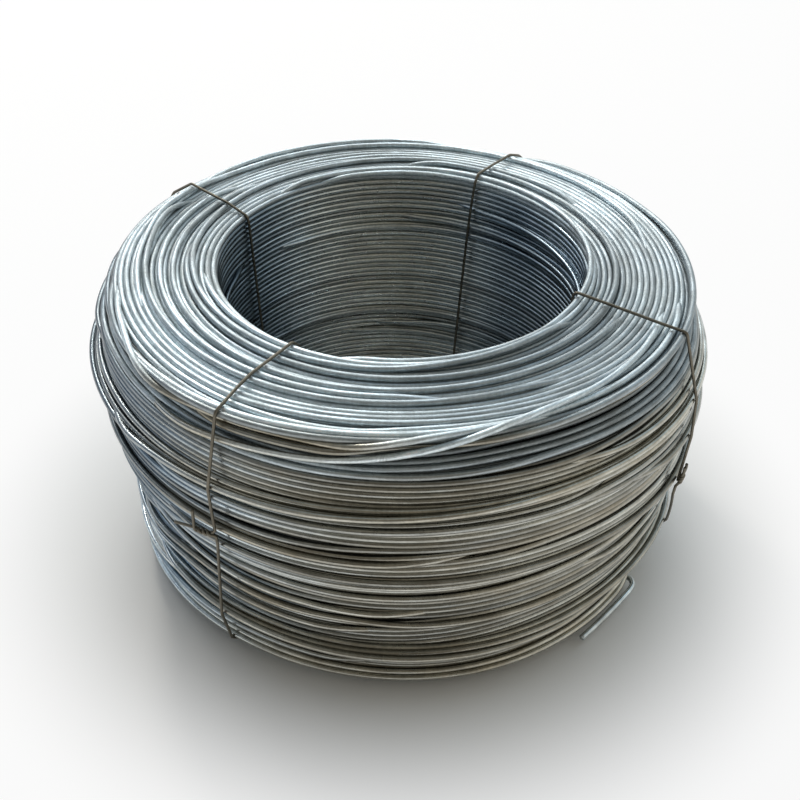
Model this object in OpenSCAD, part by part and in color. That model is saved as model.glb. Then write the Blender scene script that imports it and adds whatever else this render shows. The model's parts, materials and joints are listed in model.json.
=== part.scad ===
// Coil of high-tensile vineyard wire, lying on its end and held by four tie wires.
// All lengths are in millimetres. The coil's axis is +Z and its foot rests on z = 0.

/* [Wire] */
// Diameter of the fencing wire
wire_d = 2.5; // [1.6:0.05:4]
// Gap between neighbouring turns
turn_gap = 0.1; // [0.05:0.05:0.6]
// Depth of the groove that shows between neighbouring turns
groove_depth = 0.8; // [0.4:0.05:1.2]

/* [Coil] */
// Diameter of the bore
bore_d = 150; // [100:1:180]
// Diameter over the top turns, which stand out over a hollow
top_d = 245; // [215:1:310]
// Diameter over the upper turns
upper_d = 252; // [220:1:320]
// Diameter over the lower turns, which are wound a little tighter
lower_d = 240; // [210:1:300]
// Diameter of the foot that rests on the ground
foot_d = 224; // [200:1:290]
// Overall height of the wound turns
coil_h = 135; // [100:1:200]
// Height at which the lower turns step out to the upper ones
waist_z = 61; // [45:1:80]
// Height over which they step out
waist_h = 8; // [5:0.5:12]
// Height of the slope between the foot and the lower turns
toe_h = 24; // [12:1:35]
// Distance from the top down to the upper turns' top edge
ledge_drop = 16; // [13:0.5:24]
// Distance from the top down to the hollow between the top turns and the upper ones
hollow_drop = 10.5; // [8:0.5:12]
// Depth of the hollow
hollow_depth = 7; // [3:0.5:10]
// Height of the slope at the top outer edge
shoulder_h = 5; // [3:0.5:7]
// Width of the slope at the top outer edge
shoulder_w = 8; // [5:0.5:14]
// Width of the plain edge between the bore and the first turn
bore_edge = 0.4; // [0.2:0.1:1]
// Depth to which the resting turns are flattened
rest_flat = 0.2; // [0.1:0.05:0.4]

/* [Free end] */
// Height of the free end above the ground, at its centre
end_z = 4.75; // [3:0.25:10]
// Azimuth of the bend in the free end
end_az = -28.5; // [-180:0.5:180]
// Distance of the bend outside the foot
end_standoff = 8.5; // [5:0.5:15]
// Depth to which the free end's root reaches into the coil
end_root = 5; // [3:0.5:10]
// Bend radius of the free end
end_bend_r = 5.5; // [2.5:0.25:6]
// Length of the straight free end after its bend
end_len = 42.5; // [20:0.5:60]
// Angle by which the free end leans in from the tangent
end_lean = 12; // [0:1:20]

/* [Tie wires] */
// Diameter of the tie wire
tie_d = 1.2; // [0.8:0.1:1.8]
// Gap between a tie wire and the turns that it lies on
tie_gap = 0.3; // [0.2:0.05:0.6]
// Clearance round a tie wire where it beds into the bore and the foot
seat_clearance = 0.15; // [0.1:0.05:0.3]
// Bend radius of a tie wire at the bore's edges
tie_edge_r = 1.2; // [1:0.1:1.5]
// Bend radius of a tie wire at the foot's outer edge
tie_foot_r = 1.5; // [1:0.1:2]
// Azimuth of the front left tie
front_left_az = -121; // [-180:0.5:180]
// Azimuth of the back left tie
back_left_az = 150.5; // [-180:0.5:180]
// Azimuth of the back right tie
back_right_az = 64.5; // [-180:0.5:180]
// Azimuth of the front right tie
front_right_az = -25.5; // [-180:0.5:180]
// Height of the twist that closes a tie on the outer side
twist_z = 74; // [60:1:90]
// Length of the twist
twist_len = 8; // [4:0.5:14]
// Turns in the twist
twist_turns = 1.5; // [1:0.5:2]
// Angle by which the twist stands away from the coil
twist_lean = 14; // [10:1:30]
// Gap between the two strands of the twist
strand_gap = 0.1; // [0.05:0.05:0.3]
// Length of the two cut ends after the twist
prong_len = 11; // [5:0.5:16]
// Distance along the twist between the bends of the two cut ends
prong_step = 2.4; // [2:0.1:5]
// Angle by which the pair of cut ends leans over
prong_lean = 8; // [0:1:20]
// Angle between the two cut ends
prong_spread = 32; // [20:1:60]

/* [Hidden] */

wire_r = wire_d / 2;
tie_r = tie_d / 2;
bore_r = bore_d / 2;
top_r = top_d / 2;
upper_r = upper_d / 2;
lower_r = lower_d / 2;
foot_r = foot_d / 2;
foot_z = -rest_flat;
waist_low = waist_z - waist_h / 2;
waist_high = waist_z + waist_h / 2;
turn_pitch = wire_d + turn_gap;
tie_off = tie_r + tie_gap;
tie_bed = tie_r + seat_clearance;
tie_wrap_r = wire_r + tie_off;
strand_r = tie_r + strand_gap / 2;
twist_bend = tie_d;
twist_step = tie_d / 3;
bend_step = 15;
curve_steps = 4;
wire_sides = 10;
tie_az = [front_left_az, back_left_az, back_right_az, front_right_az];

// Outline of the wound turns in the section, over the crests, counter-clockwise from the bore's foot
crest = [
  [bore_r, foot_z],
  [foot_r, foot_z],
  [lower_r, toe_h],
  [lower_r, waist_low],
  [upper_r, waist_high],
  [upper_r, coil_h - ledge_drop],
  [upper_r - hollow_depth, coil_h - hollow_drop],
  [top_r, coil_h - shoulder_h],
  [top_r - shoulder_w, coil_h],
  [bore_r, coil_h]
];

wire_color = "#A3A6A3";
tie_color = "#77736A";
$fn = 48;

function polar(r, a) = [r * cos(a), r * sin(a)];
function unit(v) = v / norm(v);
function heading(v) = atan2(v[1], v[0]);
function at(p, i) = p[(i + len(p)) % len(p)];
function normal(p, i) = let (d = unit(at(p, i + 1) - at(p, i))) [d[1], -d[0]];

// Corner where two edges cross after each has moved outwards by its own offset
function cross_at(p, n1, o1, n2, o2) =
  let (k = n1[0] * n2[1] - n1[1] * n2[0])
  p + [o1 * n2[1] - o2 * n1[1], n1[0] * o2 - n2[0] * o1] / k;

// An outline with each edge moved outwards by the offset of the same index
function moved(p, offs) = [
  for (i = [0 : len(p) - 1])
    cross_at(p[i], normal(p, i - 1), at(offs, i - 1), normal(p, i), offs[i])
];

// An offset for every edge of an outline, with the last one, the bore's, given by itself
function edge_offsets(p, off, bore_off) = [
  for (i = [0 : len(p) - 1]) i == len(p) - 1 ? bore_off : off
];

// An outline with its hollows bridged, as a tight wire round it would lie
function taut(p) =
  let (kept = [for (i = [0 : len(p) - 1]) if (cross(p[i] - at(p, i - 1), at(p, i + 1) - p[i]) > 0) p[i]])
  len(kept) == len(p) ? p : taut(kept);

// Centres of the outermost turns, spaced evenly along each edge of an open outline
function turn_centres(p) = [
  for (i = [0 : len(p) - 2])
    let (n = max(1, floor(norm(p[i + 1] - p[i]) / turn_pitch)))
    for (k = [0 : n - (i == len(p) - 2 ? 0 : 1)])
      p[i] + (p[i + 1] - p[i]) * k / n
];

// Section of the wound coil: a solid core with the outermost turns standing out of it
module coil_section() {
  core = moved(crest, edge_offsets(crest, -groove_depth, 0));
  centres = turn_centres(moved(crest, edge_offsets(crest, -wire_r, -wire_r - bore_edge)));
  difference() {
    union() {
      polygon(core);
      for (c = centres)
        translate(c)
          circle(d = wire_d);
    }
    translate([0, -wire_d])
      square([upper_d, wire_d]);
  }
}

// A straight length of round wire between two points of the XY plane
module wire_run(a, b, d) {
  translate([a[0], a[1], 0])
    rotate(heading(b - a))
      rotate([0, 90, 0])
        cylinder(d = d, h = norm(b - a));
}

// A bend of round wire in the XY plane
module wire_bend(c, r, from, turn, d) {
  translate([c[0], c[1], 0])
    rotate(from)
      rotate_extrude(angle = turn)
        translate([r, 0])
          circle(d = d);
}

// The wire's free end: it leaves the foot, bends at a right angle and runs on along the ground
module free_end() {
  bend = polar(foot_r + end_standoff, end_az);
  translate([bend[0], bend[1], end_z])
    rotate(end_az - 90 - end_lean) {
      wire_run([0, -end_standoff - end_root], [0, -end_bend_r], wire_d);
      wire_bend([end_bend_r, -end_bend_r], end_bend_r, 90, 90, wire_d);
      wire_run([end_bend_r, 0], [end_len, 0], wire_d);
    }
}

// Places a tie's own plane, X outwards and Y upwards, at an azimuth
module at_azimuth(a) {
  rotate(a)
    rotate([90, 0, 0])
      children();
}

// The tie's outline, the edge of it that carries the twist, and that edge's own directions
tie_line = taut(crest);
twist_edge = [for (i = [1 : len(tie_line) - 2]) if (tie_line[i + 1][1] > twist_z) i][0];
edge_run = unit(tie_line[twist_edge + 1] - tie_line[twist_edge]);
edge_up = [edge_run[0], edge_run[1], 0];
edge_out = [edge_run[1], -edge_run[0], 0];
edge_end = tie_line[twist_edge];
twist_foot = edge_end + edge_run * (twist_z - edge_end[1]) / edge_run[1];
twist_root = [twist_foot[0], twist_foot[1], 0] + tie_off * edge_out;
twist_along = sin(twist_lean) * edge_out + [0, 0, cos(twist_lean)];
twist_across = cos(twist_lean) * edge_out - [0, 0, sin(twist_lean)];

// Points of a tie's open path round the coil's section, from above its twist, inwards over the top,
// down the bore, under the foot and up the outer side to below its twist
function tie_round() =
  let (
    n = len(tie_line),
    offs = [for (i = [0 : n - 1]) i == 0 ? foot_z - tie_bed : i == n - 1 ? -tie_bed : tie_off],
    p = moved(tie_line, offs)
  )
  [
    for (k = [1 : n])
      let (
        i = (twist_edge + k) % n,
        bend = i == 0 || i == n - 1 ? tie_edge_r : i == 1 ? tie_foot_r : tie_wrap_r,
        u = unit(p[i] - at(p, i - 1)),
        v = unit(at(p, i + 1) - p[i]),
        turn = acos(u * v),
        start = p[i] - u * bend * tan(turn / 2),
        centre = start + [-u[1], u[0]] * bend,
        steps = ceil(turn / bend_step)
      )
      for (j = [0 : steps])
        let (q = centre + polar(bend, heading(u) - 90 + turn * j / steps))
        [q[0], q[1], 0]
  ];

// A point of one of the two strands that are twisted about an axis leaning out from the coil
function strand(s, phase) =
  let (turn = phase + 360 * twist_turns * (s - twist_bend) / (twist_len - twist_bend))
  twist_root + strand_r * edge_out + s * twist_along
    + strand_r * (cos(turn) * twist_across + sin(turn) * edge_up);

// Points along a curve that leaves and meets two straight lines
function curve(a, b, c) = [
  for (k = [0 : curve_steps])
    let (t = k / curve_steps)
    (1 - t) * (1 - t) * a + 2 * t * (1 - t) * b + t * t * c
];

// A tie's end from the outer side into the twist and on to its cut tip, above or below.
// The strand that leaves the twist on top bends up first, and the other one a step further on.
function tie_end(phase, side) =
  let (
    on_top = sin(phase + 360 * twist_turns) > 0,
    lean = prong_lean + (on_top ? -1 : 1) * prong_spread / 2,
    prong = cos(lean) * edge_up + [0, 0, sin(lean)],
    foot = twist_root + side * (strand_r + twist_bend) * edge_up,
    knee = twist_root + side * strand_r * edge_up,
    leave = strand(twist_len, phase) + (twist_bend + (on_top ? 0 : prong_step)) * twist_along,
    bend = leave + twist_bend * twist_along,
    steps = ceil((twist_len - twist_bend) / twist_step)
  )
  concat(
    curve(foot, knee, strand(twist_bend, phase)),
    [for (k = [1 : steps]) strand(twist_bend + (twist_len - twist_bend) * k / steps, phase)],
    curve(leave, bend, bend + twist_bend * prong),
    [bend + prong_len * prong]
  );

function reversed(p) = [for (i = [len(p) - 1 : -1 : 0]) p[i]];

// Direction of a path at one of its points
function tangent(p, i) = unit(p[min(i + 1, len(p) - 1)] - p[max(i - 1, 0)]);

// Round wire carried along an open path, with its sides turned as little as the path allows
module wire_along(p, d) {
  n = len(p);
  t = [for (i = [0 : n - 1]) tangent(p, i)];
  first = unit(cross(t[0], abs(t[0][2]) < 0.9 ? [0, 0, 1] : [1, 0, 0]));
  sides = [
    for (i = 0, s = first; i < n; i = i + 1, s = i < n ? unit(s - t[i] * (t[i] * s)) : s) s
  ];
  points = [
    for (i = [0 : n - 1])
      for (k = [0 : wire_sides - 1])
        let (a = 360 * k / wire_sides)
        p[i] + d / 2 * (cos(a) * sides[i] + sin(a) * cross(t[i], sides[i]))
  ];
  skin = [
    for (i = [0 : n - 2])
      for (k = [0 : wire_sides - 1])
        let (m = (k + 1) % wire_sides, j = i * wire_sides)
        each [[j + k, j + wire_sides + k, j + m], [j + m, j + wire_sides + k, j + wire_sides + m]]
  ];
  ends = [
    [for (k = [0 : wire_sides - 1]) k],
    [for (k = [wire_sides - 1 : -1 : 0]) (n - 1) * wire_sides + k]
  ];
  polyhedron(points = points, faces = concat(skin, ends), convexity = 6);
}

// Channel in which a tie beds along the bore and under the foot
module tie_seat() {
  mouth = tie_d + 2 * seat_clearance;
  depth = mouth + seat_clearance;
  translate([bore_r - depth, -depth, -mouth / 2])
    cube([2 * depth, coil_h + 2 * depth, mouth]);
  translate([bore_r, -depth, -mouth / 2])
    cube([foot_r - bore_r + wire_d, 2 * depth, mouth]);
}

module wire_coil() {
  color(wire_color)
    union() {
      difference() {
        rotate_extrude($fn = 144)
          coil_section();
        for (a = tie_az)
          at_azimuth(a)
            tie_seat();
      }
      free_end();
    }
}

module tie_wire(a) {
  upper = tie_end(90, 1);
  lower = tie_end(270, -1);
  color(tie_color)
    at_azimuth(a)
      wire_along(concat(reversed(upper), tie_round(), lower), tie_d);
}

wire_coil();
tie_wire(front_left_az);  // tie_front_left
tie_wire(back_left_az);  // tie_back_left
tie_wire(back_right_az);  // tie_back_right
tie_wire(front_right_az);  // tie_front_right
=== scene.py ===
import json
import math

import bpy
import numpy as np
from mathutils import Matrix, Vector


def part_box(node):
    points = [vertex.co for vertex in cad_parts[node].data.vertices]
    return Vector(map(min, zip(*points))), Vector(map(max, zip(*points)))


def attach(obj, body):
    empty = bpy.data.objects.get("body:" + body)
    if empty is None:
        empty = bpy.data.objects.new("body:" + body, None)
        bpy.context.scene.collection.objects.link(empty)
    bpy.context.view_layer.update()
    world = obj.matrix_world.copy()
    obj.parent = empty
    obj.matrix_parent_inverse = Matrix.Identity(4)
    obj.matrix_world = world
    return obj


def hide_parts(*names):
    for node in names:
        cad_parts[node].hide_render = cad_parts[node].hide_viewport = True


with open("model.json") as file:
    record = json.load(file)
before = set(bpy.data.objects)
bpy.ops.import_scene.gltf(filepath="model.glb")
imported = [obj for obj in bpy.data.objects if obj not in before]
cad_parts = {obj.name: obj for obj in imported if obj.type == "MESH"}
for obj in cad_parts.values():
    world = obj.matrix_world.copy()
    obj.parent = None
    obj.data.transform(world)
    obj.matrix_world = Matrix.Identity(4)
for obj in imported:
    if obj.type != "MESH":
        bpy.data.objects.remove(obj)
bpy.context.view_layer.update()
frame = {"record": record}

# Sizes of the coil, in millimetres, as in the part's source
MM = 0.001
WIRE_D = 2.5
WIRE_R = WIRE_D / 2
TIE_D = 1.2
TIE_R = TIE_D / 2
BORE_R = frame["record"]["mounts"][0]["dims"]["r_mm"]
COIL_LOW, COIL_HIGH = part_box("wire_coil")
UPPER_R = (COIL_HIGH.x - COIL_LOW.x) / 2 / MM
COIL_H = COIL_HIGH.z / MM
LOWER_R = UPPER_R - 6
FOOT_R = UPPER_R - 14
TOE_H = 24
WAIST_LOW = 57
WAIST_HIGH = 65
TOP_R = UPPER_R - 3.5
LEDGE_Z = COIL_H - 16
HOLLOW_R = UPPER_R - 7
HOLLOW_Z = COIL_H - 10.5
SHOULDER_Z = COIL_H - 5
SHOULDER_W = 8

# How the turns lie on the section: lengths in millimetres, angles in radians
PROUD = 1.3  # the main turns lie this far inside the part's outline, under the turns that cross over them
CORNER_ROUND = 1.4
SECTION_STEP = 0.25
MAIN_TURNS = 128
UNDER_TURNS = 126
UNDER_DEPTH = 2.35
CORE_DEPTH = 7.0
TURN_SPACING = 2.47
BUNDLE_WAVES = ((3, 2.4), (7, 1.7), (11, 1.4), (17, 1.0), (24, 0.75))  # waves along the section, and size
BUNDLE_LEANS = (1, 2, 3)
WANDER_WAVES = 6
WANDER_SIZE = 0.9
PUSH_SHARE = 0.45  # a little under half, so that pushing the turns apart settles
PUSH_ROUNDS = 1500
LAST_ROUNDS = 60
EVEN_ANGLE = 0.05
SEGMENTS = 216
WIRE_SIDES = 8
UNDER_SIDES = 6
TIE_SIDES = 12
END_SIDES = 16
SEED = 41

# The whole coil's unevenness: waves round the axis as size, number of waves, phase and the phase's turn
RADIUS_WAVES = ((0.7, 2, 1.2, 1.6), (0.5, 3, -0.7, 2.2))
OUTER_WAVES = ((0.6, 5, 0.0, 4), (0.5, 1, -2.6, 7))
HEIGHT_WAVES = ((0.5, 2, 0.4, 0), (0.4, 3, 2.0, 2))
DENT_DEPTH, DENT_AZ, DENT_REACH = 3.2, -165, 38  # the lower bundle lies closer in at the left
DENT_Z, DENT_HALF = 44, 17
LIFT_SIZE = 1.35 * TIE_D  # the lowest turns rise over the ties
LIFT_ANGLE = 0.15
LIFT_FADE = 5

# What comes and goes round the coil: a base, then stretches as strength, azimuth, reach and bell's power
HOLLOW_DEPTH = (-0.4, (0.9, -85, 50), (0.5, -168, 22, 2), (0.6, -10, 22, 2), (0.5, 95, 40, 2))
# The warm tint, partly weathering and partly painted reflection of brown ground, and below 0 the cool tint,
# a painted reflection of the sky
OUTER_STAIN_AND_REFLECTION = (-0.15, (0.8, -68, 66), (0.4, 75, 60), (-0.32, -172, 34))
MIXED_STAIN_AND_REFLECTION = (0.08, (0.45, -150, 40))
BORE_PAINTED_REFLECTION = (-0.8, (1.25, 97, 38), (0.9, -70, 50))
# Painted shade (above 0) and painted light (below 0), taken from the wires' tone: the bore is darkened but
# for its back, which is lightened; the upper left flank and the front's middle are darkened; the top is
# darkened a little at the front right and lightened at the front left and the back right
BORE_LIGHT_AND_SHADE = (0.4, (-0.85, 95, 40), (0.25, 178, 42))
LEFT_SHADE = (0, (0.6, -166, 38))
FRONT_SHADE = (0, (0.1, -87, 24))
TOP_LIGHT_AND_SHADE = (0, (0.1, -25, 38), (-0.34, -122, 38), (-0.34, 55, 34))

# The wires' tones: mean and spread, then the least and the most; the under turns' low tone is painted shade
# in the gaps
MAIN_TONE = ((0.97, 0.2), (0.5, 1.3))
UNDER_TONE = ((0.36, 0.1), (0.2, 0.6))
CROSSING_TONE = ((1.05, 0.2), (0.6, 1.35))
# painted highlight: the bright wire over the hollow gets a lighter tone
SPAN_PAINTED_HIGHLIGHT = 1.4
END_TONE, END_STAIN = 1.35, 0.25
UNDER_LIFT = np.array([1.0, 1.0, 2.4, 2.3])  # foot, side, top and bore: painted light lifts the last two, where the gaps let more light in
MAIN_HOLLOW_SHADE, UNDER_HOLLOW_SHADE = 0.45, 0.6  # painted shade: how far the hollow darkens them
HOLLOW_SHADE_WIDTH = 4.5

# The ties: azimuths from the foot over the top into the bore, the twist's height, tilt and two cut ends
TIES = {
    "tie_front_left": ((-125.0, -120.8, -120.3, -119.0, -119.0), 78.5, 4, (10.5, 6.5)),
    "tie_back_left": ((152.0, 151.5, 151.5, 154.5, 147.0), 74.0, 0, (9.0, 8.0)),
    "tie_back_right": ((62.0, 61.5, 61.5, 64.1, 69.5), 74.0, 5, (9.0, 7.0)),
    "tie_front_right": ((-12.0, -29.0, -28.6, -27.9, -24.0), 66.0, 78, (3.0, 3.0)),
}

AZ = np.linspace(-np.pi, np.pi, SEGMENTS, endpoint=False)
rng = np.random.default_rng(SEED)


def smooth_step(x, low, high):
    """0 below low, 1 above high, and 3t^2 - 2t^3 of the share t between them."""
    t = np.clip((x - low) / (high - low), 0, 1)
    return t * t * (3 - 2 * t)


def turn_apart(a, b):
    """Angle from b to a, wrapped to between -pi and pi."""
    return (a - b + np.pi) % (2 * np.pi) - np.pi


def evened(values, width, step):
    """Values along a closed run, averaged with a bell-shaped weight of that width:
    each sine wave in the run, of frequency f, is multiplied by exp(-(2 pi f width)^2 / 2)."""
    f = np.fft.rfftfreq(values.shape[-1], step)
    return np.fft.irfft(np.fft.rfft(values) * np.exp(-((2 * np.pi * f * width) ** 2) / 2), values.shape[-1])


def inset(corners, depths):
    """Corners of a closed counter-clockwise outline with each edge moved inwards by its own depth: the
    moved lines of neighbouring edges are crossed again."""
    way = np.roll(corners, -1, 0) - corners
    way /= np.linalg.norm(way, axis=1, keepdims=True)
    x1, y1, off1 = way[:, 1], -way[:, 0], -depths
    x0, y0, off0 = np.roll(x1, 1), np.roll(y1, 1), np.roll(off1, 1)
    k = x0 * y1 - y0 * x1
    return corners + np.stack([(off0 * y1 - off1 * y0) / k, (x0 * off1 - x1 * off0) / k], -1)


def rounded(corners, rounding):
    """Radius and height along a closed outline: the corners joined by straight runs, sampled evenly and
    rounded by averaging along the run."""
    closed = np.concatenate([corners, corners[:1]])
    run = np.concatenate([[0], np.cumsum(np.hypot(*np.diff(closed, axis=0).T))])
    count = int(run[-1] / SECTION_STEP)
    at = np.arange(count) * run[-1] / count
    return tuple(evened(np.interp(at, run, c), rounding, SECTION_STEP) for c in closed.T)


def section_outline():
    """Closed outline through the centres of the main turns, counter-clockwise from the bore's foot: the
    part's outline moved inwards, rounded, and given by the distance along it. Returns the run, radius,
    height and outward normal, and the whole length."""
    crest = np.array([
        (BORE_R, 0),
        (FOOT_R, 0),
        (LOWER_R, TOE_H),
        (LOWER_R, WAIST_LOW),
        (UPPER_R, WAIST_HIGH),
        (UPPER_R, LEDGE_Z),
        (HOLLOW_R, HOLLOW_Z),
        (TOP_R, SHOULDER_Z),
        (TOP_R - SHOULDER_W, COIL_H),
        (BORE_R, COIL_H),
    ])
    depths = np.full(len(crest), WIRE_R + PROUD)
    depths[0] = WIRE_R
    r, z = rounded(inset(crest, depths), CORNER_ROUND)
    z = np.maximum(z, WIRE_R)
    dr, dz = (np.roll(c, -1) - np.roll(c, 1) for c in (r, z))
    size = np.hypot(dr, dz)
    length = size.sum() / 2
    return np.cumsum(size / 2) - size[0] / 2, r, z, dz / size, -dr / size, length


RUN, RUN_R, RUN_Z, RUN_NR, RUN_NZ, RUN_LENGTH = section_outline()


def on_section(s):
    """Radius, height and outward normal of the outline at a run s, wrapped round the section."""
    return tuple(np.interp(s, RUN, c, period=RUN_LENGTH) for c in (RUN_R, RUN_Z, RUN_NR, RUN_NZ))


def run_at(r, z):
    """Run of the outline's point that is nearest to a radius and height."""
    return RUN[np.argmin((RUN_R - r) ** 2 + (RUN_Z - z) ** 2)]


def bundled(s):
    """Drift that gathers turns into bundles: waves along the section that shift and lean as they go
    round the coil, A sin(2 pi m s / length + n az + phase)."""
    drift = np.zeros(s.shape)
    for waves, size in BUNDLE_WAVES:
        for leans in BUNDLE_LEANS:
            phase = rng.uniform(0, 2 * np.pi)
            drift += size / leans * np.sin(2 * np.pi * waves * s / RUN_LENGTH + leans * AZ + phase)
    return drift


def wander(count):
    """Slow wander of each turn by itself: whole waves round the coil, n = 1 and up, with random phases
    and random sizes that fall as 1 / n."""
    n = np.arange(1, WANDER_WAVES + 1)[None, :, None]
    sizes = rng.normal(0, WANDER_SIZE, (count, WANDER_WAVES, 1)) / n
    return (sizes * np.cos(n * AZ + rng.uniform(0, 2 * np.pi, (count, WANDER_WAVES, 1)))).sum(1)


def spread(s, rounds):
    """Turns pushed apart along the section until neighbours are a wire apart: each round moves the two
    turns of a pair by nearly half of what they overlap."""
    for _ in range(rounds):
        lap = np.maximum(TURN_SPACING - (np.roll(s, -1, 0) - s), 0)
        lap[-1] = np.maximum(TURN_SPACING - (s[0] + RUN_LENGTH - s[-1]), 0)
        s = s + PUSH_SHARE * (np.roll(lap, 1, 0) - lap)
    return s


def laid_turns(count):
    """Runs of all turns of a layer: spaced by how closely they are wound on each part of the section,
    looser at the toe, on the side and in the bore, then drifted, wandered and pushed apart."""
    toe_z, toe_reach, outward, upright = 8, 16, 0.3, 0.8
    toe_loose, side_loose, bore_loose = 0.5, 0.1, 0.03
    blend = 4.0
    toe = np.exp(-((RUN_Z - toe_z) / toe_reach) ** 2) * (RUN_NR > outward)
    closeness = 1 - toe_loose * toe - side_loose * (RUN_NR > upright) - bore_loose * (RUN_NR < -upright)
    wound = np.concatenate([[0], np.cumsum(evened(closeness, blend, SECTION_STEP))])
    at = np.linspace(0, RUN_LENGTH, len(wound))
    even = np.interp((np.arange(count) + 0.5) / count * wound[-1], wound, at)[:, None] + np.zeros(SEGMENTS)
    s = even + bundled(even) + wander(count)
    s = spread(np.sort(s, axis=0), PUSH_ROUNDS)
    s = evened(s, EVEN_ANGLE, 2 * np.pi / SEGMENTS)
    return spread(s, LAST_ROUNDS)


def stretch_of(az, middle, reach, power=4):
    """How far a stretch of the coil covers an azimuth: 1 in its middle, fading within its reach, both in
    degrees, as exp(-(distance / reach)^power)."""
    return np.exp(-((turn_apart(az, math.radians(middle)) / math.radians(reach)) ** power))


def over(az, base, *stretches):
    """A base value plus the strength of each stretch as far as it covers the azimuth."""
    return sum((strength * stretch_of(az, *where) for strength, *where in stretches), base)


HOLLOW_RUN = run_at(HOLLOW_R, HOLLOW_Z)
HOLLOW_CHANGE = 3.5
HOLLOW_WIDTH = 5.0


def swelled(s, az, depth):
    """Radius and height at a depth under the outline, and the outline's normal. The hollow under the top
    turns is deepest in the middle of the front and shallower in other places, bell-shaped across it."""
    r, z, nr, nz = on_section(s)
    turn = 2 * np.pi
    d = turn_apart(turn * s / RUN_LENGTH, turn * HOLLOW_RUN / RUN_LENGTH) * RUN_LENGTH / turn
    sunk = depth + HOLLOW_CHANGE * over(az, *HOLLOW_DEPTH) * np.exp(-((d / HOLLOW_WIDTH) ** 2))
    return r - nr * sunk, z - nz * sunk, nr, nz


def slow_waves(waves, az, turning):
    """Sum of size cos(n az + phase + turn turning) over the waves."""
    return sum(size * np.cos(n * az + phase + turn * turning) for size, n, phase, turn in waves)


def warped(r, z, az):
    """The whole coil's unevenness: slow waves round the axis move the radius and the height, their
    phase turning with the height, the lower bundle lies closer in at the left, and the lowest turns rise
    over each tie by the tie's thickness."""
    up = z / COIL_H
    outer = smooth_step(r, BORE_R, UPPER_R)
    dr = slow_waves(RADIUS_WAVES, az, up)
    dr = dr + outer * slow_waves(OUTER_WAVES, az, up)
    dz = up * slow_waves(HEIGHT_WAVES, az, outer)
    dent = np.exp(-(((z - DENT_Z) / DENT_HALF) ** 4))
    dr = dr - DENT_DEPTH * outer * stretch_of(az, DENT_AZ, DENT_REACH) * dent
    lift = np.zeros(np.broadcast(r, az).shape)
    for azimuths, *_ in TIES.values():
        middle = math.radians((azimuths[0] + azimuths[-1]) / 2)
        lift = lift + LIFT_SIZE * np.exp(-((turn_apart(az, middle) / LIFT_ANGLE) ** 4))
    return r + dr, z + dz + lift * np.exp(-z / LIFT_FADE)


def around(r, z, az):
    """Points in space from radius, height and azimuth: (r cos az, r sin az, z)."""
    return np.stack([r * np.cos(az), r * np.sin(az), z + 0 * az], -1)


def swept(paths, leans, radius, sides, closed):
    """Round wires carried along paths. At each point the profile's first axis is the lean vector less
    its part along the path, its second is the path's direction crossed with the first, and the skin is
    path + radius (cos a first + sin a second). Open wires end in a flat cut, fanned from its centre.
    Returns points, quads and triangles."""
    count, n, _ = paths.shape
    if closed:
        along = np.roll(paths, -1, 1) - np.roll(paths, 1, 1)
    else:
        along = np.gradient(paths, axis=1)
    along /= np.linalg.norm(along, axis=2, keepdims=True)
    first = leans - along * (leans * along).sum(2, keepdims=True)
    first /= np.linalg.norm(first, axis=2, keepdims=True)
    second = np.cross(along, first)
    a = np.arange(sides) * 2 * np.pi / sides
    skin = paths[:, :, None] + radius * (
        np.cos(a)[:, None] * first[:, :, None] + np.sin(a)[:, None] * second[:, :, None]
    )
    number = np.arange(count * n * sides).reshape(count, n, sides)
    here = number if closed else number[:, :-1]
    ahead = np.roll(number, -1, 1) if closed else number[:, 1:]
    beside = [np.roll(k, -1, 2) for k in (here, ahead)]
    quads = np.stack([here, beside[0], beside[1], ahead], -1).reshape(-1, 4)
    points = skin.reshape(-1, 3)
    if closed:
        return points, quads, np.zeros((0, 3), int)
    centres = points.shape[0] + np.arange(2 * count).reshape(count, 2)
    points = np.concatenate([points, paths[:, [0, -1]].reshape(-1, 3)])
    start, end = number[:, 0], number[:, -1]
    fans = [
        np.stack([np.roll(start, -1, 1), start, centres[:, :1] + 0 * start], -1),
        np.stack([end, np.roll(end, -1, 1), centres[:, 1:] + 0 * end], -1),
    ]
    return points, quads, np.concatenate(fans).reshape(-1, 3)


def per_point(values, sides, closed):
    """A value of each path point, given to every point of its ring and to the centres of the cut ends."""
    spread_out = np.repeat(values[:, :, None], sides, 2).reshape((-1,) + values.shape[2:])
    if closed:
        return spread_out
    return np.concatenate([spread_out, values[:, [0, -1]].reshape((-1,) + values.shape[2:])])


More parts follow.
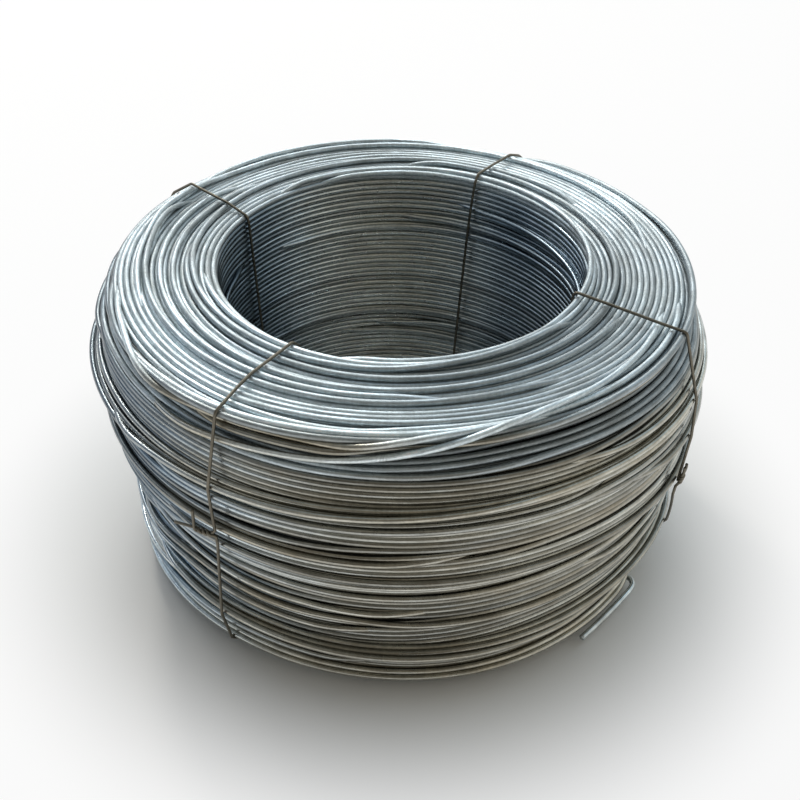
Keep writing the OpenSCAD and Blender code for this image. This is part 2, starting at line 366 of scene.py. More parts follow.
def new_piece(name, surface, marks, material, nodes):
    """A mesh in the shared frame from points, quads and triangles, with its marks as attributes,
    riding on the part's body and standing for the given nodes."""
    points, quads, triangles = surface
    mesh = bpy.data.meshes.new(name)
    mesh.vertices.add(len(points))
    mesh.vertices.foreach_set("co", (points * MM).astype(np.float32).ravel())
    corners = np.concatenate([quads.ravel(), triangles.ravel()]).astype(np.int32)
    starts = np.concatenate([
        np.arange(len(quads)) * 4,
        quads.size + np.arange(len(triangles)) * 3,
    ]).astype(np.int32)
    mesh.loops.add(len(corners))
    mesh.loops.foreach_set("vertex_index", corners)
    mesh.polygons.add(len(starts))
    mesh.polygons.foreach_set("loop_start", starts)
    mesh.polygons.foreach_set("use_smooth", np.ones(len(starts), bool))
    for mark, values in marks.items():
        kind, field = ("FLOAT", "value") if values.ndim == 1 else ("FLOAT_VECTOR", "vector")
        mesh.attributes.new(mark, kind, "POINT").data.foreach_set(field, values.astype(np.float32).ravel())
    mesh.update(calc_edges=True)
    mesh.validate()
    mesh.materials.append(material)
    piece = bpy.data.objects.new(name, mesh)
    bpy.context.scene.collection.objects.link(piece)
    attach(piece, "root")
    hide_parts(*nodes)


def linear(colour):
    """An sRGB hex colour as a linear RGBA value."""
    parts = [int(colour[k:k + 2], 16) / 255 for k in (1, 3, 5)]
    return [p / 12.92 if p <= 0.04045 else ((p + 0.055) / 1.055) ** 2.4 for p in parts] + [1]


def add(tree, kind, inputs, **settings):
    """One node with its settings, its inputs given as values or as sockets to link from."""
    node = tree.nodes.new(kind)
    for name, value in settings.items():
        setattr(node, name, value)
    for name, value in inputs.items():
        if isinstance(value, bpy.types.NodeSocket):
            tree.links.new(value, node.inputs[name])
        else:
            node.inputs[name].default_value = value
    return node


def new_material(name):
    """An empty material with its output node."""
    material = bpy.data.materials.new(name)
    material.use_nodes = True
    material.node_tree.nodes.clear()
    return material, material.node_tree


def galvanised_drawn_wire():
    """Hot-dipped zinc on drawn steel wire. Zinc is a pale bluish metal; drawing leaves faint streaks along
    the wire and dipping leaves a fine grain. Each wire's own tone also carries painted shade and painted
    light.
    The zinc is mixed towards a warm grey, partly weathering and partly painted reflection of brown ground,
    and where the mark is below 0 towards a cool blue-grey, a painted reflection of the sky, so that each
    turn shows a broken, satin gleam. Wires that face the sky carry a thin bloom, which widens the gleam."""
    material, tree = new_material("galvanised drawn steel wire")
    place = add(tree, "ShaderNodeAttribute", {}, attribute_name="wire_place")
    # each wire's own tone, with painted shade and painted light in it
    tone = add(tree, "ShaderNodeAttribute", {}, attribute_name="turn_tone")
    dull = add(tree, "ShaderNodeAttribute", {}, attribute_name="dulling")
    bloom = add(tree, "ShaderNodeAttribute", {}, attribute_name="bloom")
    patch_mm = 22  # weathered lengths of a wire
    streak_mm = 0.6  # drawing marks are finer than this and are drawn coarser to show
    grit_mm = 1.2  # the zinc's own grain is finer and is drawn coarser so that it glints
    patchiness = 0.6  # how far the stain of two lengths can differ
    bloom_rough = 0.26  # what a full bloom adds to the roughness
    patch = add(tree, "ShaderNodeTexNoise", {
        "Vector": place.outputs["Vector"], "Scale": 1 / patch_mm, "Detail": 3.0, "Roughness": 0.55,
    })
    drawn_out = 0.06  # streaks are about 17 times as long as they are wide
    stretch = add(tree, "ShaderNodeMapping", {
        "Vector": place.outputs["Vector"], "Scale": (drawn_out, drawn_out, 1),
    })
    streak = add(tree, "ShaderNodeTexNoise", {
        "Vector": stretch.outputs["Vector"], "Scale": 1 / streak_mm, "Detail": 2.0, "Roughness": 0.5,
    })
    grit = add(tree, "ShaderNodeTexNoise", {
        "Vector": place.outputs["Vector"], "Scale": 1 / grit_mm, "Detail": 2.0, "Roughness": 0.6,
    })
    dulled = add(tree, "ShaderNodeMath", {
        0: patch.outputs["Fac"], 1: patchiness, 2: -patchiness / 2,
    }, operation="MULTIPLY_ADD")
    share = add(tree, "ShaderNodeMath", {
        0: dull.outputs["Fac"], 1: dulled.outputs["Value"],
    }, use_clamp=True)
    cool = add(tree, "ShaderNodeMath", {
        0: dull.outputs["Fac"], 1: -1.0,
    }, operation="MULTIPLY", use_clamp=True)
    # painted reflection: below 0 the pale zinc goes towards the sky's blue
    bright = add(tree, "ShaderNodeMix", {
        "Factor": cool.outputs["Value"], "A": linear("#C8D3D8"), "B": linear("#6F92AC"),
    }, data_type="RGBA")
    # towards a warm grey: partly weathering, partly painted reflection of brown ground
    zinc = add(tree, "ShaderNodeMix", {
        "Factor": share.outputs["Value"], "A": bright.outputs["Result"], "B": linear("#A89E88"),
    }, data_type="RGBA")
    streaked = add(tree, "ShaderNodeMapRange", {
        "Value": streak.outputs["Fac"], "From Min": 0.3, "From Max": 0.7, "To Min": 0.72, "To Max": 1.12,
    })
    grain = add(tree, "ShaderNodeMapRange", {
        "Value": grit.outputs["Fac"], "From Min": 0.3, "From Max": 0.7, "To Min": 0.86, "To Max": 1.08,
    })
    mottled = add(tree, "ShaderNodeMath", {
        0: streaked.outputs["Result"], 1: grain.outputs["Result"],
    }, operation="MULTIPLY")
    toned = add(tree, "ShaderNodeMath", {
        0: tone.outputs["Fac"], 1: mottled.outputs["Value"],
    }, operation="MULTIPLY")
    shade = add(tree, "ShaderNodeMix", {
        "Factor": 1.0, "A": zinc.outputs["Result"], "B": toned.outputs["Value"],
    }, data_type="RGBA", blend_type="MULTIPLY", clamp_result=True)
    satin = add(tree, "ShaderNodeMapRange", {
        "Value": patch.outputs["Fac"], "From Min": 0.3, "From Max": 0.7, "To Min": 0.2, "To Max": 0.38,
    })
    rough = add(tree, "ShaderNodeMath", {
        0: bloom.outputs["Fac"], 1: bloom_rough, 2: satin.outputs["Result"],
    }, operation="MULTIPLY_ADD")
    bump = add(tree, "ShaderNodeBump", {
        "Strength": 0.25, "Distance": 0.0002, "Height": grit.outputs["Fac"],
    })
    metal = add(tree, "ShaderNodeBsdfPrincipled", {
        "Base Color": shade.outputs["Result"], "Metallic": 1.0,
        "Roughness": rough.outputs["Value"], "Normal": bump.outputs["Normal"],
    })
    add(tree, "ShaderNodeOutputMaterial", {"Surface": metal.outputs["BSDF"]})
    return material


def annealed_tie_wire():
    """Soft annealed iron tie wire. Annealing leaves a thin dark scale, so it is a dull grey-brown with a
    weak, wide gleam and lighter rubbed spots."""
    material, tree = new_material("annealed iron tie wire")
    place = add(tree, "ShaderNodeTexCoord", {})
    spot_mm = 4
    spots = add(tree, "ShaderNodeTexNoise", {
        "Vector": place.outputs["Object"], "Scale": 1 / (spot_mm * MM), "Detail": 3.0,
    })
    scale = add(tree, "ShaderNodeMix", {
        "Factor": spots.outputs["Fac"], "A": linear("#5C584F"), "B": linear("#8C8678"),
    }, data_type="RGBA")
    metal = add(tree, "ShaderNodeBsdfPrincipled", {
        "Base Color": scale.outputs["Result"], "Metallic": 1.0, "Roughness": 0.48,
    })
    add(tree, "ShaderNodeOutputMaterial", {"Surface": metal.outputs["BSDF"]})
    return material


def shaded_core():
    """The inside of the winding, seen only as the dark behind the gaps between turns: its near-black grey
    is painted shade.
    """
    material, tree = new_material("dull zinc deep in the winding")
    metal = add(tree, "ShaderNodeBsdfPrincipled", {
        "Base Color": linear("#2A2B2A"), "Metallic": 1.0, "Roughness": 0.6,
    })
    add(tree, "ShaderNodeOutputMaterial", {"Surface": metal.outputs["BSDF"]})
    return material


def wire_marks(az, s, skyward, tone, sides, closed):
    """Marks of each wire's points: the place along and beside the wire in millimetres, turned by the
    wire's own angle so that no two patterns line up; the wire's tone, with painted shade and painted
    light that come and go round the coil; how far the zinc is mixed towards a warm grey, partly weathering
    and partly painted reflection, and below 0 towards a cool blue, a painted reflection, which follows how
    little the wire faces the sky and comes and goes round the coil; and the bloom, which is how far it
    faces the sky."""
    golden_angle = 2.39996
    tone_shift, turn_shift, mixing = 50, 37.0, 7.3
    sky_from, sky_to = -0.1, 0.75
    bore_layer = 6
    all_over = 0.06
    shade_from, shade_to = 22, 58
    r, z = on_section(s)[:2]
    number = np.arange(len(s))[:, None]
    own = number + tone_shift * tone[:, None]
    turned = az + golden_angle * own
    place = np.stack([r * np.cos(turned), r * np.sin(turned), turn_shift * number + s], -1)
    place = per_point(place, sides, closed)
    beside = np.tile(WIRE_R * np.sin(np.arange(sides) * 2 * np.pi / sides), s.size)
    place[:len(beside), 2] += beside
    skyward = smooth_step(skyward, sky_from, sky_to)
    inside = smooth_step(BORE_R + bore_layer - r, 0, bore_layer)
    # painted reflection with some weathering: warm grey on the wires that face away from the sky, cool blue
    # at the left and in much of the bore
    outer_stain_and_reflection = over(az, *OUTER_STAIN_AND_REFLECTION) + over(az, *MIXED_STAIN_AND_REFLECTION) * np.sin(mixing * own)
    stain_and_reflection = outer_stain_and_reflection * (1 - inside) + over(az, *BORE_PAINTED_REFLECTION) * inside
    # painted shade and painted light on the tone, by azimuth
    outer_shade = over(az, *LEFT_SHADE) * smooth_step(z, shade_from, shade_to) + over(az, *FRONT_SHADE)
    shade = inside * over(az, *BORE_LIGHT_AND_SHADE) + (1 - inside) * outer_shade
    lit = 1 - (1 - skyward) * shade - skyward * over(az, *TOP_LIGHT_AND_SHADE)
    return {
        "wire_place": place,
        "turn_tone": per_point(tone[:, None] * lit, sides, closed),
        "dulling": per_point((1 - skyward) * stain_and_reflection + all_over, sides, closed),
        "bloom": per_point(skyward + 0 * s, sides, closed),
    }


def tones(like, count):
    """Random tones of a number of wires, kept between the least and the most."""
    (mean, spread_of_tones), (least, most) = like
    return np.clip(rng.normal(mean, spread_of_tones, count), least, most)


def ring_paths(s, depth, az):
    """Centre lines and leans of turns at runs s, a given depth under the outline."""
    r, z, nr, nz = swelled(s, az, depth)
    out, up = warped(r, z, az)
    return around(out, up, az), around(nr, nz, az), (out, up)


def zone_of(turn_runs):
    """Which part of the coil each turn lies on, by the run of its mean: foot, side, top or bore."""
    mean = turn_runs.mean(1) % RUN_LENGTH
    bounds = [run_at(FOOT_R, 0), HOLLOW_RUN, run_at(BORE_R, COIL_H)]
    return np.searchsorted(bounds, mean)


def in_hollow(turn_runs):
    """How far each turn lies in the hollow under the top turns, where shade is painted on its tone: a bell
    across it.
    """
    return np.exp(-(((turn_runs.mean(1) - HOLLOW_RUN) / HOLLOW_SHADE_WIDTH) ** 2))


zinc_wire = galvanised_drawn_wire()
tie_metal = annealed_tie_wire()
deep_zinc = shaded_core()

# The main turns, in four pieces by where they lie
main_runs = laid_turns(MAIN_TURNS)
# painted shade: the turns in the hollow are darkened
main_tone = tones(MAIN_TONE, MAIN_TURNS) * (1 - MAIN_HOLLOW_SHADE * in_hollow(main_runs))
main_paths, main_leans, main_places = ring_paths(main_runs, 0, AZ)
for zone, name in enumerate(("foot_turns", "side_turns", "top_turns", "bore_turns")):
    chosen = zone_of(main_runs) == zone
    surface = swept(main_paths[chosen], main_leans[chosen], WIRE_R, WIRE_SIDES, True)
    runs = main_runs[chosen]
    marks = wire_marks(AZ, runs, on_section(runs)[3], main_tone[chosen], WIRE_SIDES, True)
    new_piece(name, surface, marks, zinc_wire, ["wire_coil"])

# The turns just under them, seen through the gaps
under_az = AZ[::2]
under_runs = laid_turns(UNDER_TURNS)[:, ::2]
under_paths, under_leans, _ = ring_paths(under_runs, UNDER_DEPTH, under_az)
# painted shade: the under turns' low tone darkens the gaps, lifted as painted light on the top and in the
# bore
under_tone = tones(UNDER_TONE, UNDER_TURNS)
under_tone *= UNDER_LIFT[zone_of(under_runs)] * (1 - UNDER_HOLLOW_SHADE * in_hollow(under_runs))
surface = swept(under_paths, under_leans, WIRE_R, UNDER_SIDES, True)
marks = wire_marks(under_az, under_runs, on_section(under_runs)[3], under_tone, UNDER_SIDES, True)
new_piece("under_turns", surface, marks, zinc_wire, ["wire_coil"])


def crossing_wires(specs):
    """Wires that ride over the main turns for part of the way round. Each starts under the turns, climbs
    on to them within the dive angle, drifts along the section and dives under again. On its way it is
    lifted along the section's normal until it lies a bedded wire's width from every wire laid before,
    and its stiffness evens the lift. Returns the wires, and the radius and height of all that was laid."""
    dive, dive_depth = math.radians(26), 1.5 * WIRE_D
    bedded = 0.97 * WIRE_D
    least_steps = 8
    flat_r = main_places[0].copy()
    flat_z = main_places[1].copy()
    wires = []
    for start, span, way, stiffness in specs:
        steps = max(least_steps, int(round(span / 360 * SEGMENTS)))
        first = int(round((start + 180) / 360 * SEGMENTS))
        columns = (first + np.arange(steps)) % SEGMENTS
        t = np.linspace(0, 1, steps)
        az = AZ[columns]
        runs, r, z, nr, nz = way(t, az)
        base_r, base_z = warped(r, z, az)
        vr, vz = flat_r[:, columns] - base_r, flat_z[:, columns] - base_z
        above = vr * nr + vz * nz
        beside2 = vr ** 2 + vz ** 2 - above ** 2
        reach2 = bedded ** 2
        clear = np.where(beside2 < reach2, above + np.sqrt(np.maximum(reach2 - beside2, 0)), 0)
        h = np.fmax.reduce(np.concatenate([clear, np.zeros((1, steps))]), 0)
        for _ in range(stiffness):
            padded = np.pad(h, 1, mode="edge")
            h = np.maximum(h, (padded[:-2] + padded[2:]) / 2)
        padded = np.pad(h, 2, mode="edge")
        h = (padded[:-4] + padded[1:-3] + padded[2:-2] + padded[3:-1] + padded[4:]) / 5
        on_top = smooth_step(np.minimum(t, 1 - t) * math.radians(span), 0, dive)
        h = h * on_top - dive_depth * (1 - on_top)
        place_r, place_z = base_r + nr * h, np.maximum(base_z + nz * h, WIRE_R)
        laid = np.full((2, 1, SEGMENTS), np.nan)
        laid[:, 0, columns] = place_r, place_z
        flat_r = np.concatenate([flat_r, laid[0]])
        flat_z = np.concatenate([flat_z, laid[1]])
        wires.append((az, runs, around(place_r, place_z, az), around(nr, nz, az)))
    return wires, flat_r, flat_z


def drift_from(run, change, sway):
    """The way of a crossing wire: its run along the section drifts evenly with one slow sway in it."""
    phase = rng.uniform(0, 2 * np.pi)

    def way(t, az):
        runs = run + change * (t - 0.5) + sway * np.sin(2 * np.pi * t + phase)
        return runs, *swelled(runs, az, 0)

    return way


def crossing_specs():
    """Where wires cross over: a number on each part of the section, at random places and drifts. Each is
    its first azimuth and its span in degrees, its way and its stiffness."""
    drift_size, sway_size = 6, 1.2
    least_span, most_span = 130, 320
    stiffness = 6
    bore_margin = 12
    parts = (
        (6, run_at(FOOT_R, 3), run_at(LOWER_R, TOE_H)),
        (10, run_at(LOWER_R, TOE_H), run_at(LOWER_R, WAIST_LOW)),
        (12, run_at(UPPER_R, WAIST_HIGH), run_at(UPPER_R, LEDGE_Z)),
        (4, run_at(TOP_R, SHOULDER_Z), run_at(TOP_R - SHOULDER_W, COIL_H)),
        (9, run_at(TOP_R - SHOULDER_W, COIL_H), run_at(BORE_R, COIL_H)),
        (7, run_at(BORE_R, COIL_H - bore_margin), run_at(BORE_R, bore_margin)),
    )
    specs = []
    for count, low, high in parts:
        for _ in range(count):
            run = rng.uniform(low, high)
            change = rng.normal(0, drift_size)
            way = drift_from(run, change, rng.normal(0, sway_size))
            specs.append((rng.uniform(-180, 180), rng.uniform(least_span, most_span), way, stiffness))
    return specs


def eased(stations, step, width):
    """A smooth line through stations, the first column being what it runs by: joined by straight runs,
    sampled at each step and averaged with a bell-shaped weight of that width."""
    at = np.arange(stations[0, 0], stations[-1, 0] + step / 2, step)
    reach = int(3 * width / step)
    bell = np.exp(-((np.arange(-reach, reach + 1) * step / width) ** 2))
    columns = [np.interp(at, stations[:, 0], c) for c in stations.T[1:]]
    padded = [np.pad(c, reach, mode="reflect", reflect_type="odd") for c in columns]
    return at, [np.convolve(c, bell / bell.sum(), "valid") for c in padded]


def over_the_hollow(t, az):
    """The way of the bright wire that leaves the side, spans the hollow in the middle of the front and
    runs on along the top: azimuth, radius, height and the normal's tilt, joined and evened."""
    step, width = 1.0, 5.0
    stations = np.array([
        (-155, 122.0, 117.0, 0),
        (-135, 122.4, 119.0, 0),
        (-120, 122.6, 120.5, 8),
        (-99, 122.8, 123.0, 25),
        (-87, 122.4, 127.0, 40),
        (-82, 122.0, 129.0, 45),
        (-75, 120.5, 131.5, 55),
        (-64, 117.0, 133.3, 75),
        (-45, 113.0, 133.3, 88),
        (-25, 109.5, 133.3, 90),
        (-5, 106.0, 133.0, 90),
    ])
    fine, values = eased(stations, step, width)
    r, z, tilt = (np.interp(np.degrees(az), fine, c) for c in values)
    runs = RUN[np.argmin((RUN_R[:, None] - r) ** 2 + (RUN_Z[:, None] - z) ** 2, 0)]
    return runs, r, z, np.cos(np.radians(tilt)), np.sin(np.radians(tilt))


HOLLOW_SPAN = (-150.0, 142.0, over_the_hollow, 12)

wires, all_r, all_z = crossing_wires(crossing_specs() + [HOLLOW_SPAN])
crossing_tone = np.append(tones(CROSSING_TONE, len(wires) - 1), SPAN_PAINTED_HIGHLIGHT)
parts = []
offset = 0
for (az, runs, path, lean), tone in zip(wires, crossing_tone):
    points, quads, triangles = swept(path[None], lean[None], WIRE_R, WIRE_SIDES, False)
    marks = wire_marks(az, runs[None], lean[None, :, 2], np.array([tone]), WIRE_SIDES, False)
    parts.append((points, quads + offset, triangles + offset, marks))
    offset += len(points)
surface = tuple(np.concatenate([p[k] for p in parts]) for k in range(3))
marks = {name: np.concatenate([p[3][name] for p in parts]) for name in parts[0][3]}
new_piece("crossing_turns", surface, marks, zinc_wire, ["wire_coil"])


def core_surface():
    """The winding under the turns: a plain section without the top turns' edge, turned about the axis."""
    under_hollow, rounding = 3, 3.0
    section_step, turn_step = 12, 3
    corners = np.array([
        (BORE_R + CORE_DEPTH, CORE_DEPTH),
        (FOOT_R - CORE_DEPTH, CORE_DEPTH),
        (LOWER_R - CORE_DEPTH, TOE_H),
        (LOWER_R - CORE_DEPTH, WAIST_LOW),
        (UPPER_R - CORE_DEPTH, WAIST_HIGH),
        (UPPER_R - CORE_DEPTH, LEDGE_Z - under_hollow),
        (HOLLOW_R - CORE_DEPTH, HOLLOW_Z - under_hollow),
        (HOLLOW_R - CORE_DEPTH, COIL_H - CORE_DEPTH),
        (BORE_R + CORE_DEPTH, COIL_H - CORE_DEPTH),
    ])
    r, z = (c[::section_step, None] for c in rounded(corners, rounding))
    az = AZ[::turn_step]
    out, up = warped(r, z, az)
    points = around(out, up, az)
    number = np.arange(points.shape[0] * points.shape[1]).reshape(points.shape[:2])
    up_next = np.roll(number, -1, 0)
    quads = np.stack([number, np.roll(number, -1, 1), np.roll(up_next, -1, 1), up_next], -1)
    return points.reshape(-1, 3), quads.reshape(-1, 4), np.zeros((0, 3), int)


new_piece("winding_core", core_surface(), {}, deep_zinc, ["wire_coil"])

# The free end: it leaves the foot, bends back sharply and runs along the ground, a little bowed
END_Z = 4.75
END_STATIONS = np.array([
    (91.5, -47.0),
    (97.0, -50.5),
    (101.0, -53.2),
    (103.6, -56.0),
    (103.7, -59.4),
    (101.6, -62.8),
    (95.4, -70.6),
    (89.2, -77.9),
    (83.7, -84.1),
    (77.8, -90.4),
])


def free_end_path():
    """A smooth line through the stations, by the distance along them, level above the ground."""
    step, width = 0.8, 1.6
    run = np.concatenate([[0], np.cumsum(np.hypot(*np.diff(END_STATIONS, axis=0).T))])
    _, (x, y) = eased(np.column_stack([run, END_STATIONS]), step, width)
    return np.column_stack([x, y, np.full(len(x), END_Z)])


end_path = free_end_path()
end_lean = np.tile([0.0, 0.0, 1.0], (len(end_path), 1))
surface = swept(end_path[None], end_lean[None], WIRE_R, END_SIDES, False)
marks = {
    "wire_place": per_point(end_path[None], END_SIDES, False),
    "turn_tone": np.full(len(surface[0]), END_TONE),
    "dulling": np.full(len(surface[0]), END_STAIN),
    "bloom": np.zeros(len(surface[0])),
}
new_piece("free_end", surface, marks, zinc_wire, ["wire_coil"])


def tie_loop(azimuths, twist_z):
    """A tight loop round the section over a tie's azimuths: for every direction in the section's plane,
    the turn that lies farthest that way plus a wire's and a tie's radius, and no lower than the ground.
    It starts at the twist."""
    directions, points = 1440, 420
    first, last = (int(round((a + 180) / 360 * SEGMENTS)) for a in (min(azimuths), max(azimuths)))
    columns = np.arange(first, last + 1) % SEGMENTS
    r, z = all_r[:, columns].ravel(), all_z[:, columns].ravel()
    known = ~np.isnan(r)
    centres = np.stack([r[known], z[known]], -1)
    turn = np.linspace(0, 2 * np.pi, directions, endpoint=False)
    way = np.stack([np.cos(turn), np.sin(turn)], -1)
    loop = centres[np.argmax(way @ centres.T, 1)] + (WIRE_R + TIE_R) * way
    loop = np.concatenate([loop, loop[:1]])
    run = np.concatenate([[0], np.cumsum(np.hypot(*np.diff(loop, axis=0).T))])
    even = np.linspace(0, run[-1], points, endpoint=False)
    loop = np.stack([np.interp(even, run, c) for c in loop.T], -1)
    loop[:, 1] = np.maximum(loop[:, 1], TIE_R)
    outer = np.where(loop[:, 0] > (BORE_R + UPPER_R) / 2, np.abs(loop[:, 1] - twist_z), np.inf)
    return np.roll(loop, -np.argmin(outer), 0)


def tie_path(azimuths, twist_z, tilt, prongs):
    """A tie's whole path: cut end, twisted strand, loop, twisted strand, cut end. A strand is a helix
    about an axis that leans out from the coil, tilted from level by some degrees; the cut ends bend
    upwards from it, or part to both sides where they are short. The path is laid in the section's plane
    and its azimuth, in degrees, then goes evenly between those of the foot's outer edge, the twist, the
    top's outer edge, the bore's top and the bore's foot. Returns the path's points and the leans of its
    profile."""
    twist_len, turns, twist_lean, first = 6.5, 1.5, math.radians(12), 1.0
    strand_gap, loop_gap = 0.05, 1.4
    steep_bends, bend_step, short_bend = (88, 66), 2.2, 12
    corner_off, bend_len, straight_from = 1.6, 1.3, 1.8
    strand_steps, bend_steps, straight_steps = 26, 7, 8
    outward = 0.05
    evening = 9
    level_run = 6
    strand_r = TIE_R + strand_gap
    loop = tie_loop(azimuths, twist_z)
    loop = np.column_stack([loop, np.zeros(len(loop))])
    root = loop[0].copy()
    loop = loop[np.linalg.norm(loop - root, axis=1) > loop_gap]
    tilt = math.radians(tilt)
    level = np.array([0, math.sin(tilt), math.cos(tilt)])
    out = np.array([1.0, 0, 0])
    along = math.cos(twist_lean) * level + math.sin(twist_lean) * out
    across = math.cos(twist_lean) * out - math.sin(twist_lean) * level
    upward = np.cross(along, across)
    ends = []
    for k, side in enumerate((1, -1)):
        prong = prongs[k]
        t = np.linspace(first, twist_len, strand_steps)[:, None]
        a = side * np.pi / 2 + 2 * np.pi * turns * (t - first) / (twist_len - first)
        strand = root + strand_r * out + t * along + strand_r * (np.cos(a) * across + np.sin(a) * upward)
        bend = math.radians(steep_bends[k] if prong > twist_len else short_bend * side)
        way = np.array([outward, math.sin(bend + tilt), math.cos(bend + tilt)])
        corner = strand[-1] + (corner_off + k * bend_step) * along
        before, after = corner - bend_len * along, corner + bend_len * way
        t = np.linspace(0, 1, bend_steps)[:, None]
        curve = (1 - t) ** 2 * before + 2 * t * (1 - t) * corner + t ** 2 * after
        straight = corner + np.linspace(straight_from, prong, straight_steps)[:, None] * way
        ends.append(np.concatenate([strand, curve, straight]))
    path = np.concatenate([ends[0][::-1], loop, ends[1]])
    flat = np.concatenate([np.ones(len(ends[0])), np.zeros(len(loop)), np.ones(len(ends[1]))])
    flat = np.convolve(np.pad(flat, evening // 2, mode="edge"), np.ones(evening) / evening, mode="valid")
    foot, twist, top, bore_top, bore_foot = azimuths
    outer = np.interp(path[:, 1], [0, twist_z - level_run, twist_z, COIL_H], [foot, twist, twist, top])
    inner = np.interp(path[:, 1], [0, COIL_H], [bore_foot, bore_top])
    share = np.clip((path[:, 0] - BORE_R) / (FOOT_R - BORE_R), 0, 1)
    az = np.radians(inner + (outer - inner) * share)
    away = np.column_stack([np.cos(az), np.sin(az), 0 * az])
    back = np.column_stack([np.sin(az), -np.cos(az), 0 * az])
    up = np.array([0.0, 0.0, 1.0])
    places = path[:, :1] * away + path[:, 1:2] * up + path[:, 2:] * back
    return places, (1 - flat)[:, None] * back + flat[:, None] * away


for name, placing in TIES.items():
    path, lean = tie_path(*placing)
    surface = swept(path[None], lean[None], TIE_R, TIE_SIDES, False)
    new_piece(name + "_wire", surface, {}, tie_metal, [name])


def pale_floor():
    """A plain pale floor, large enough to fill the view. The eye and reflections see it as white away
    from the coil, and as lit paper that keeps the coil's shadow near it."""
    half = 12.0
    shadow_r, white_r, most_white = 0.11, 0.21, 0.9
    corners = [(-half, -half, 0), (half, -half, 0), (half, half, 0), (-half, half, 0)]
    mesh = bpy.data.meshes.new("floor")
    mesh.from_pydata(corners, [], [(0, 1, 2, 3)])
    material, tree = new_material("pale matt paper")
    paper = add(tree, "ShaderNodeBsdfPrincipled", {"Base Color": linear("#F4F4F2"), "Roughness": 0.9})
    white = add(tree, "ShaderNodeEmission", {"Strength": 1.0})
    seen = add(tree, "ShaderNodeLightPath", {})
    shiny = add(tree, "ShaderNodeMath", {
        0: seen.outputs["Is Glossy Ray"], 1: seen.outputs["Is Transmission Ray"],
    }, operation="MAXIMUM")
    looked_at = add(tree, "ShaderNodeMath", {
        0: seen.outputs["Is Camera Ray"], 1: shiny.outputs["Value"],
    }, operation="MAXIMUM")
    place = add(tree, "ShaderNodeTexCoord", {})
    from_axis = add(tree, "ShaderNodeVectorMath", {0: place.outputs["Object"]}, operation="LENGTH")
    away = add(tree, "ShaderNodeMapRange", {
        "Value": from_axis.outputs["Value"],
        "From Min": shadow_r, "From Max": white_r, "To Max": most_white,
    }, interpolation_type="SMOOTHSTEP")
    share = add(tree, "ShaderNodeMath", {
        0: looked_at.outputs["Value"], 1: away.outputs["Result"],
    }, operation="MULTIPLY")
    surface = add(tree, "ShaderNodeMixShader", {
        0: share.outputs["Value"], 1: paper.outputs["BSDF"], 2: white.outputs["Emission"],
    })
    add(tree, "ShaderNodeOutputMaterial", {"Surface": surface.outputs["Shader"]})
    mesh.materials.append(material)
    floor = bpy.data.objects.new("floor", mesh)
    bpy.context.scene.collection.objects.link(floor)


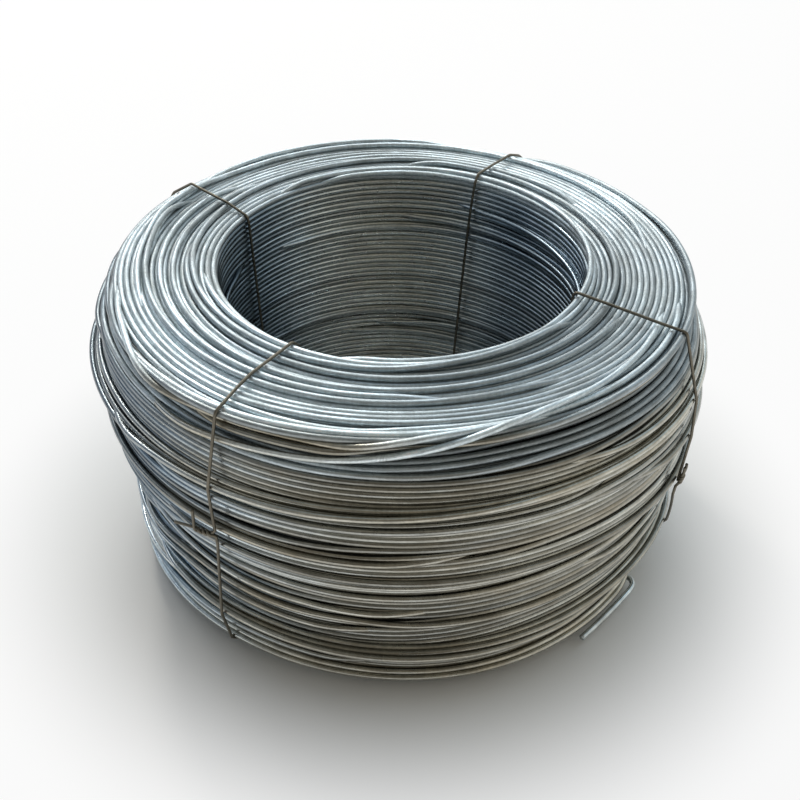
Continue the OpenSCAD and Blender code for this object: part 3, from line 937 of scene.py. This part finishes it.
def studio_light():
    """Four soft lamps from behind, the brightest at the left, and a world that the metal reflects: pale
    blue overhead and behind, darker blue at the left, pale at the right, dim and warm in front, and
    white along the horizon."""
    aim_z = 0.07
    world = bpy.data.worlds.new("studio")
    bpy.context.scene.world = world
    world.use_nodes = True
    tree = world.node_tree
    tree.nodes.clear()
    way = add(tree, "ShaderNodeTexCoord", {})
    split = add(tree, "ShaderNodeSeparateXYZ", {"Vector": way.outputs["Generated"]})
    height = add(tree, "ShaderNodeMapRange", {
        "Value": split.outputs["Z"], "From Min": 0.2, "From Max": 0.7,
    })
    leftward = add(tree, "ShaderNodeMapRange", {
        "Value": split.outputs["X"], "From Min": 0.6, "From Max": -0.6,
    })
    sides = add(tree, "ShaderNodeMix", {
        "Factor": leftward.outputs["Result"], "A": linear("#EAE6DA"), "B": linear("#30597C"),
    }, data_type="RGBA")
    frontward = add(tree, "ShaderNodeMapRange", {
        "Value": split.outputs["Y"], "From Min": -0.6, "From Max": -0.95,
    })
    walls = add(tree, "ShaderNodeMix", {
        "Factor": frontward.outputs["Result"], "A": sides.outputs["Result"], "B": linear("#3D362B"),
    }, data_type="RGBA")
    backward = add(tree, "ShaderNodeMapRange", {
        "Value": split.outputs["Y"], "From Min": -0.35, "From Max": 0.45,
    })
    beside = add(tree, "ShaderNodeMath", {0: split.outputs["X"]}, operation="ABSOLUTE")
    sideways = add(tree, "ShaderNodeMapRange", {
        "Value": beside.outputs["Value"], "From Min": 0.25, "From Max": 0.75,
    })
    front_sky = add(tree, "ShaderNodeMix", {
        "Factor": sideways.outputs["Result"], "A": linear("#857F72"), "B": linear("#CBC8BE"),
    }, data_type="RGBA")
    far_left = add(tree, "ShaderNodeMapRange", {
        "Value": split.outputs["X"], "From Min": -0.1, "From Max": -0.5,
    })
    back_sky = add(tree, "ShaderNodeMix", {
        "Factor": far_left.outputs["Result"], "A": linear("#D2E7F8"), "B": linear("#32608A"),
    }, data_type="RGBA")
    upper = add(tree, "ShaderNodeMix", {
        "Factor": backward.outputs["Result"],
        "A": front_sky.outputs["Result"], "B": back_sky.outputs["Result"],
    }, data_type="RGBA")
    sky = add(tree, "ShaderNodeMix", {
        "Factor": height.outputs["Result"], "A": walls.outputs["Result"], "B": upper.outputs["Result"],
    }, data_type="RGBA")
    low_down = add(tree, "ShaderNodeMapRange", {
        "Value": split.outputs["Z"], "From Min": 0.17, "From Max": 0.1,
    })
    room = add(tree, "ShaderNodeMix", {
        "Factor": low_down.outputs["Result"], "A": sky.outputs["Result"], "B": linear("#F4F4F2"),
    }, data_type="RGBA")
    glow = add(tree, "ShaderNodeBackground", {"Color": room.outputs["Result"], "Strength": 0.88})
    add(tree, "ShaderNodeOutputWorld", {"Surface": glow.outputs["Background"]})
    lamps = (
        ("key lamp", (-0.51, 0.97, 1.15), 0.22, 4.5, "#FFF8EE"),
        ("soft lamp", (-0.45, 1.0, 1.25), 1.2, 8.0, "#FFFBF4"),
        ("left lamp", (-1.0, 0.61, 1.0), 0.9, 1.5, "#FFFBF4"),
        ("right lamp", (0.11, 1.29, 0.8), 0.9, 2.5, "#FFFBF4"),
    )
    for name, place, size, power, colour in lamps:
        lamp = bpy.data.lights.new(name, "AREA")
        lamp.shape = "DISK"
        lamp.size = size
        lamp.energy = power
        lamp.color = linear(colour)[:3]
        lit = bpy.data.objects.new(name, lamp)
        aim = np.array([0, 0, aim_z]) - np.array(place)
        lit.matrix_world = facing(np.array(place), -aim / np.linalg.norm(aim))
        bpy.context.scene.collection.objects.link(lit)


def facing(place, back, roll=0.0):
    """A matrix that puts a lamp or camera at a place, looking against the back vector, level but for
    its roll."""
    right = np.cross([0.0, 0.0, 1.0], back)
    right /= np.linalg.norm(right)
    up = np.cross(back, right)
    turned = math.cos(roll) * right + math.sin(roll) * up
    matrix = np.eye(4)
    matrix[:3, 0], matrix[:3, 1], matrix[:3, 2], matrix[:3, 3] = turned, np.cross(back, turned), back, place
    return Matrix(matrix.tolist())


def photo_camera():
    """A camera at the photograph's viewing angle, fitted to the coil's rims: focal length, the place of
    the optical axis in an 800 x 800 picture, distance, elevation, roll and the height it aims at."""
    focal_px, picture_px = 1160.0, 800.0
    axis_px = (399.6, 385.2)
    distance, elevation, roll = 519.5 * MM, math.radians(35.7), math.radians(1.1)
    target = np.array([0, 0, 67.3 * MM])
    back = np.array([0, -math.cos(elevation), math.sin(elevation)])
    camera = bpy.data.cameras.new("camera")
    camera.sensor_width = 36.0
    camera.lens = camera.sensor_width * focal_px / picture_px
    camera.shift_x = (picture_px / 2 - axis_px[0]) / picture_px
    camera.shift_y = (axis_px[1] - picture_px / 2) / picture_px
    camera.clip_start = 0.01
    seen = bpy.data.objects.new("camera", camera)
    seen.matrix_world = facing(target + back * distance, back, roll)
    bpy.context.scene.collection.objects.link(seen)
    bpy.context.scene.camera = seen


pale_floor()
studio_light()
photo_camera()
bpy.context.scene.view_settings.view_transform = "Standard"
